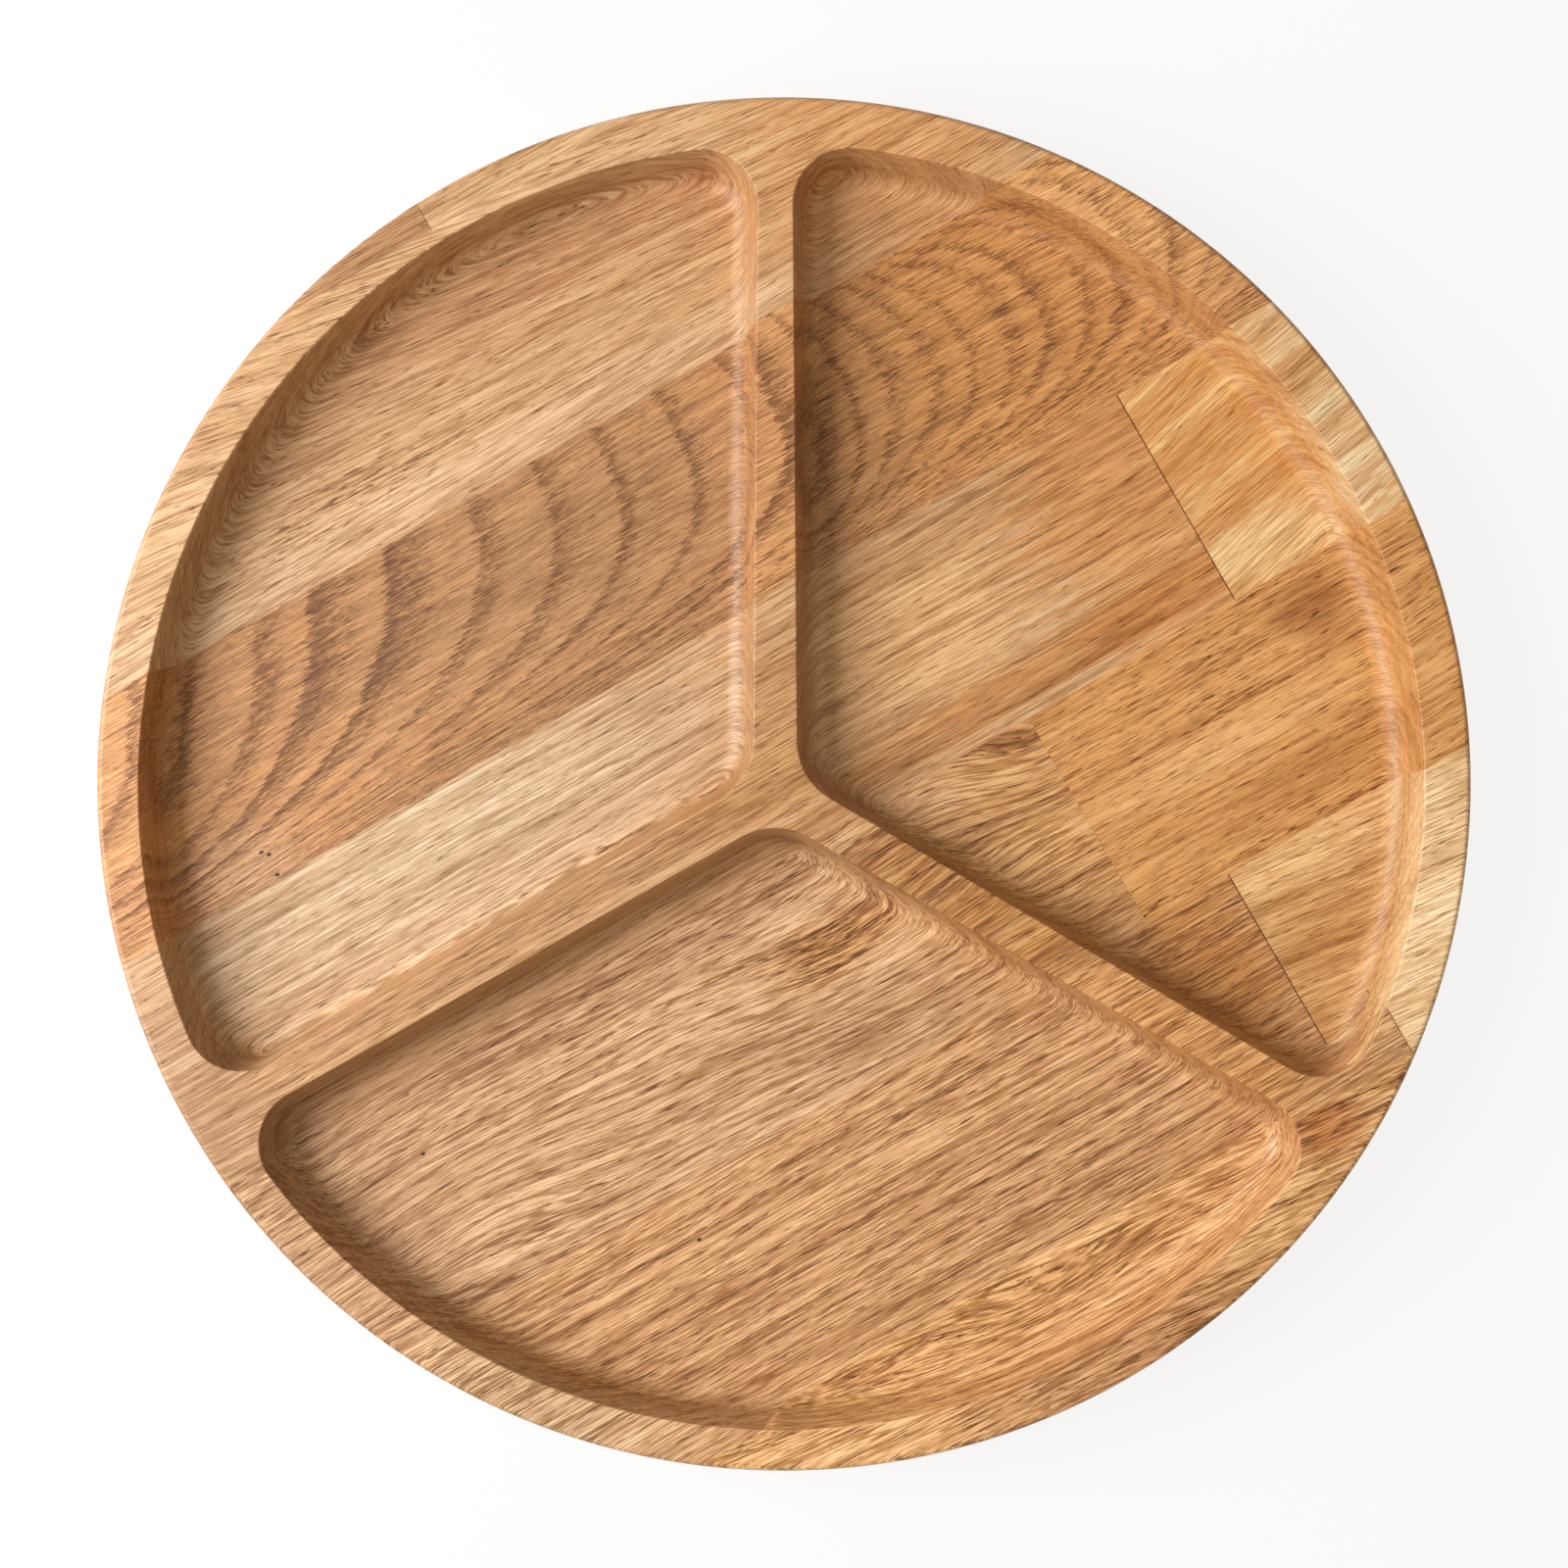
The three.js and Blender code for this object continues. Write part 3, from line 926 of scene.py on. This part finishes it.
# %% Boards of the second and third row
BOARDS["stave_2"] = dict(
    PLAIN, fan=(82, -0.005), pith=(170, -60), ring=2.2, fibres=0.32, hairs=0.75, pores=-0.06,
    tones=((168, 119, 73), (208, 163, 118), (234, 201, 159)),
    clusters=(((-45, 86, 10), (36, 8, 30), 0.06),),
    stains_and_painted_light=(((-10, 79, 10), (150, 7, 30), (223, 185, 146), 0.8),
            ((10, 105, 10), (90, 12, 9), (198, 146, 102), 0.8),
            # painted light, partly: this patch warms the right end of the stave, part board tone and part
            # painted warm light
            ((72, 90, 15), (40, 40, 30), (214, 157, 104), 0.9)),
)
BOARDS["stave_3"] = dict(
    PLAIN, wander=4.0, pith=(-20, -30), feather=0.4, ragged=0.7, bands=0.17, fibres=0.42,
    arches=dict(high=73, fall=0.25, least=56, low=29, sweep=19, apart=13.5,
                close_apart=8.0, close_from=38, close_at=(30, 52)),
    pore=(1.8, 0.2, 0.4), pore_bands=0.18, pores=-0.02, pore_strength=0.6,
    stripes=0.25, streaks=0.2, hairs=0.5,
    tones=((142, 92, 52), (213, 154, 100), (237, 182, 125)),
    # painted light, partly: the first patch gives the right compartment's floor a warmer, darker tone, part
    # board tone and part painted warm light
    stains_and_painted_light=(((80, 55, 8), (62, 60, 11), (211, 148, 87), 0.95),
            ((-12, 52, 8), (100, 60, 11), (180, 132, 89), 0.95),
            ((98, 62, 20), (32, 30, 9), (238, 178, 117), 0.9),
            ((32, 53, 20), (26, 34, 8), (203, 146, 96), 0.9),
            ((-96, 36, 10), (16, 10, 20), (222, 172, 132), 0.7)),
    knots=((-90.5, 37.6, 10), (-89.5, 36.5, 10), (-90, 32.5, 10)),
)
print("rings of the arched stave lie", BOARDS["stave_3"]["arches"]["apart"], "mm apart")

# %% [markdown]
# ## The fourth row
# The long left stave carries the hub and the divider that runs with the grain. It is straight on the
# left and darker along its lower edge. The floor of its left compartment is paler, partly in the board's
# own tone and partly as painted light: brighter, with a painted sheen, towards the window lamp. The
# short right stave has broad yellow stripes that lean with its slope.

# %% Boards of the fourth row
BOARDS["stave_4_left"] = dict(
    PLAIN, ring=2.4, feather=0.25, bands=0.12, fibres=0.3, hairs=0.75, pores=-0.065,
    tones=((159, 112, 69), (204, 157, 112), (234, 201, 159)),
    # painted light, partly: the first patch makes the left compartment's floor paler, part board tone and
    # part painted brightness and sheen from the window lamp's side
    stains_and_painted_light=(((-60, 20, 8), (95, 34, 10), (214, 182, 147), 0.95),
            ((36, 12, 9), (32, 26, 10), (234, 183, 130), 0.8),
            ((82, 12, 10), (30, 60, 30), (212, 150, 91), 0.9),
            ((-122, 8, 20), (18, 36, 9), (192, 150, 112), 0.9),
            ((2, 2, 20), (34, 24, 8), (193, 141, 91), 0.9),
            ((55, -6, 10), (75, 6, 12), (191, 131, 76), 0.75)),
)
BOARDS["stave_4_right"] = dict(
    PLAIN, slope=0.18, wander=6.0, stripes=1.0, streaks=0.9, hairs=0.5, pores=-0.08,
    tones=((188, 122, 59), (221, 162, 99), (243, 207, 146)),
    stains_and_painted_light=(((98, -6, 10), (26, 9, 18), (242, 203, 148), 0.95),
            ((120, 10, 20), (16, 60, 9), (224, 178, 128), 0.95)),
)
print("stained places in the fourth row:", sum(len(BOARDS[n]["stains_and_painted_light"]) for n in row_ends(4)))

# %% [markdown]
# ## The fifth row
# The left stave was cut close to the pith, so its grain swings most: round a dark cluster of pores in
# the lower compartment, and in a swirl just before the joint. The right stave is a quiet golden board
# with a few dark pores.

# %% Boards of the fifth row
BOARDS["stave_5_left"] = dict(
    PLAIN, slope=-0.04, wander=6.0, pith=(10, -35), drift=(0.0, -0.03), ring=1.8, bands=0.16,
    pore_bands=0.12, pores=-0.06,
    tones=((146, 98, 57), (216, 170, 128), (245, 209, 168)),
    bulges=(((-88, -38, 10), (46, 16, 30), -5.0), ((-5, -34, 10), (44, 18, 30), 5.0),
            ((46, -19, 10), (28, 15, 20), 7.0)),
    clusters=(((-8, -31, 10), (14, 7, 20), 0.14),),
    stains_and_painted_light=(((-60, -17, 10), (75, 7, 30), (199, 152, 111), 0.9),
            ((40, -34, 15), (48, 50, 30), (217, 161, 103), 0.9),
            ((25, -32, 20), (70, 50, 8), (193, 142, 92), 0.9),
            ((-8, -31, 10), (18, 8, 8), (209, 153, 92), 0.8),
            ((-122, -30, 20), (20, 50, 8), (202, 158, 118), 0.9)),
    knots=((-92.5, -26, 10),),
)
BOARDS["stave_5_right"] = dict(
    PLAIN, wander=5.0, pith=(-100, -60), ring=2.2, pores=-0.035, pore_strength=1.0,
    streaks=0.3, bands=0.12, hairs=0.55,
    tones=((170, 110, 53), (221, 162, 98), (237, 183, 123)),
    clusters=(((82, -18, 10), (10, 4, 20), 0.08), ((78, -28, 10), (10, 4, 20), 0.08)),
    stains_and_painted_light=(((101, -21, 10), (10, 9, 20), (174, 114, 62), 0.9),
            ((70, -35, 10), (40, 6, 20), (230, 176, 114), 0.8),
            ((88, -47, 10), (34, 7, 20), (193, 131, 69), 0.7)),
)
print("bulges in the grain of the fifth row:", len(BOARDS["stave_5_left"]["bulges"]))

# %% [markdown]
# ## The sixth and seventh row
# The sixth row has long, plain lines with many pores, and a short right stave that is very pale on
# the rim. The seventh is a strip that the disc cuts into an arc; its rings rise along the stave, so
# they open into flames near the lower edge.

# %% Boards of the sixth and seventh row
BOARDS["stave_6_left"] = dict(
    PLAIN, pith=(0, -50), pore_bands=0.12, pores=-0.04, ring=2.4, hairs=1.0, fibres=0.44,
    tones=((152, 101, 55), (217, 165, 117), (243, 202, 154)),
    stains_and_painted_light=(((52, -70, 8), (20, 34, 10), (201, 138, 77), 0.95),
            ((40, -78, 20), (40, 50, 8), (220, 159, 100), 0.9),
            ((-98, -75, 20), (40, 40, 8), (216, 177, 136), 0.9)),
    knots=((-56, -65.5, 10),),
)
BOARDS["stave_6_right"] = dict(
    PLAIN, slope=-0.1, pith=(0, -50), hairs=0.5,
    tones=((156, 103, 52), (217, 165, 106), (242, 202, 150)),
    stains_and_painted_light=(((85, -75, 20), (40, 50, 8.5), (255, 218, 166), 0.95),
            ((75, -59, 10), (30, 6, 12), (236, 186, 125), 0.8),
            ((74, -76, 10), (16, 10, 12), (200, 143, 83), 0.8)),
)
BOARDS["stave_7"] = dict(
    PLAIN, pith=(-70, -50), drift=(0.0, 0.05), bands=0.16, pore_bands=0.1, fibres=0.45, hairs=1.0,
    tones=((153, 102, 53), (230, 177, 120), (253, 212, 162)),
    bulges=(((-8, -107, 10), (32, 8, 20), 3.5),),
    stains_and_painted_light=(((-2, -121, 20), (42, 12, 9), (212, 156, 106), 0.9),
            ((54, -104, 20), (10, 8, 9), (201, 131, 75), 0.9)),
)
print("boards in all:", len(BOARDS))

# %% [markdown]
# ## Cutting and dressing every stave
# Now each stave is cut from the milled disc and gets the oak of its board. One oak for all of them
# would be shorter, but a panel shows its joints mostly by the change of board. The drawings and the
# milled disc have done their work after this and are taken away.

# %% Cut and dress every stave
SEEDS_PER_ROW = 10
staves = []
for row in range(1, ROWS + 1):
    for name, ends in row_ends(row).items():
        seed = SEEDS_PER_ROW * row + len(staves)
        finish = oak(name.replace("stave", "oak"), BOARDS[name], seed)
        stave = cut_stave(name, ends, row_sides(row), finish)
        staves.append((name, stave))
        print(name, len(stave.data.polygons), "faces")
for helper in (lip_drawing, wall_drawing, edge_drawing, milled_disc):
    bpy.data.objects.remove(helper)

# %% [markdown]
# ## Ride, replace and slot
# Each dressed stave stands for the imported stave of the same name, which is hidden, and moves with
# the tray's one body.

# %% Hang each stave on the tray's body and hide the imported stave
for name, stave in staves:
    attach(stave, "root")
    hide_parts(name)
print("staves dressed:", len(staves))

# %% [markdown]
# ## White paper
# The tray lies on white paper. Lit paper is never quite white in a render, and more light would burn
# out the oak, so the paper shows itself as pure white to the camera and in reflections, and is plain
# matt paper to all other light. A share of the matt paper is kept near the tray, which keeps the
# tray's soft shadow, and that share fades out so that the paper runs into the white room.

# %% Floor
FLOOR_SIZE = 40.0
FLOOR_BELOW = 0.05
SHADOW_SHARE = 0.15
SHADOW_REACH = (0.16, 0.6)
PAPER_TONE = (0.8, 0.8, 0.8, 1)
WHITE = (1, 1, 1, 1)
paper = bpy.data.materials.new("white_paper")
paper.use_nodes = True
paper_tree = paper.node_tree
paper_tree.nodes.clear()
path = paper_tree.nodes.new("ShaderNodeLightPath").outputs
seen = Wood(path["Is Camera Ray"])
for ray in ("Is Glossy Ray", "Is Transmission Ray"):
    seen = seen.sum("MAXIMUM", seen, Wood(path[ray]))
matt = seen.node("ShaderNodeBsdfDiffuse", {}, {"Color": PAPER_TONE})
white = seen.node("ShaderNodeEmission", {}, {"Color": WHITE, "Strength": 1.0})
spread = Wood(paper_tree.nodes.new("ShaderNodeTexCoord").outputs["Object"])
away = spread.node("ShaderNodeVectorMath", {"operation": "LENGTH"}, {0: spread}, "Value")
shadowed = SHADOW_SHARE * fall(away, *SHADOW_REACH)
sheet = seen.node("ShaderNodeMixShader", {}, {0: seen * (1 - shadowed), 1: matt, 2: white})
output = paper_tree.nodes.new("ShaderNodeOutputMaterial")
paper_tree.links.new(sheet.socket, output.inputs["Surface"])
half = FLOOR_SIZE / 2
corners = [(-half, -half, 0), (half, -half, 0), (half, half, 0), (-half, half, 0)]
floor_mesh = bpy.data.meshes.new("floor")
floor_mesh.from_pydata(corners, [], [(0, 1, 2, 3)])
floor_mesh.materials.append(paper)
floor = bpy.data.objects.new("floor", floor_mesh)
floor.location.z = -FLOOR_BELOW * MM
scene.collection.objects.link(floor)
print("paper:", FLOOR_SIZE, "m wide")

# %% [markdown]
# ## Camera
# The photograph looks straight down, with the grain turned 30 degrees in the frame. The floors look
# smaller than the top face, which gives the camera's height, and the width of the frame at the top
# face then gives its angle of view.

# %% Camera
CAMERA_ABOVE_TOP = 413.0
FRAME_WIDTH_AT_TOP = 284.7
GRAIN_TURN = math.radians(30)
lens = bpy.data.cameras.new("camera")
lens.sensor_fit = "HORIZONTAL"
lens.angle = 2 * math.atan(FRAME_WIDTH_AT_TOP / 2 / CAMERA_ABOVE_TOP)
camera = bpy.data.objects.new("camera", lens)
camera.location = (0, 0, (TOP + CAMERA_ABOVE_TOP) * MM)
camera.rotation_euler = (0, 0, -GRAIN_TURN)
scene.collection.objects.link(camera)
scene.camera = camera
print("angle of view:", round(math.degrees(lens.angle), 1), "degrees")

# %% [markdown]
# ## Lamps
# One large soft light stands at the picture's left, rather low, like a window: it brightens the walls
# that face it and throws the other walls into soft shade. A weak light overhead lifts the floors. A
# sun lamp would be simpler, but its shadows have edges that a window's do not.

# %% Lamps
KEY_TURN = math.radians(181)
KEY_HEIGHT = math.radians(34.5)
KEY_DISTANCE = 0.75
KEY_SIZE = (0.5, 0.6)
KEY_POWER = 8.9
CEILING_PLACE = (0.25, -0.1, 0.9)
CEILING_SIZE = 0.5
CEILING_POWER = 1.4
window = bpy.data.lights.new("window", "AREA")
window.shape = "RECTANGLE"
window.size, window.size_y = KEY_SIZE
window.energy = KEY_POWER
key = bpy.data.objects.new("window", window)
level = heading(KEY_TURN - GRAIN_TURN) * math.cos(KEY_HEIGHT)
aim = Vector((*level, math.sin(KEY_HEIGHT)))
key.location = aim * KEY_DISTANCE
key.rotation_euler = aim.to_track_quat("Z", "Y").to_euler()
scene.collection.objects.link(key)
ceiling = bpy.data.lights.new("ceiling", "AREA")
ceiling.size = CEILING_SIZE
ceiling.energy = CEILING_POWER
above = bpy.data.objects.new("ceiling", ceiling)
above.location = CEILING_PLACE
above.visible_glossy = False
scene.collection.objects.link(above)
print("lamps:", window.energy, "W beside and", ceiling.energy, "W above")

# %% [markdown]
# ## Room
# A warm, dim room fills the shaded walls from all round. The camera sees it as white, as it sees the
# paper. The oiled oak mirrors only a share of that white: a full white room would lie on the dark
# pores like a veil, which oak in a real room does not show.

# %% Room
ROOM_LIGHT = 0.27
ROOM_TONE = (1.0, 0.85, 0.6, 1)
REFLECTED_SHARE = 0.25
world = bpy.data.worlds.new("room")
world.use_nodes = True
room_tree = world.node_tree
room_tree.nodes.clear()
rays = room_tree.nodes.new("ShaderNodeLightPath").outputs
view = Wood(rays["Is Camera Ray"])
through = Wood(rays["Is Transmission Ray"])
mirrored = Wood(rays["Is Glossy Ray"]) * REFLECTED_SHARE
white_share = view.sum("MAXIMUM", view, view.sum("MAXIMUM", through, mirrored))
dim = view.node("ShaderNodeBackground", {}, {"Color": ROOM_TONE, "Strength": ROOM_LIGHT})
bright = view.node("ShaderNodeBackground", {}, {"Color": WHITE, "Strength": 1.0})
air = view.node("ShaderNodeMixShader", {}, {0: white_share, 1: dim, 2: bright})
outside = room_tree.nodes.new("ShaderNodeOutputWorld")
room_tree.links.new(air.socket, outside.inputs["Surface"])
scene.world = world
scene.view_settings.view_transform = "Standard"
print("the room gives", ROOM_LIGHT, "of full light")
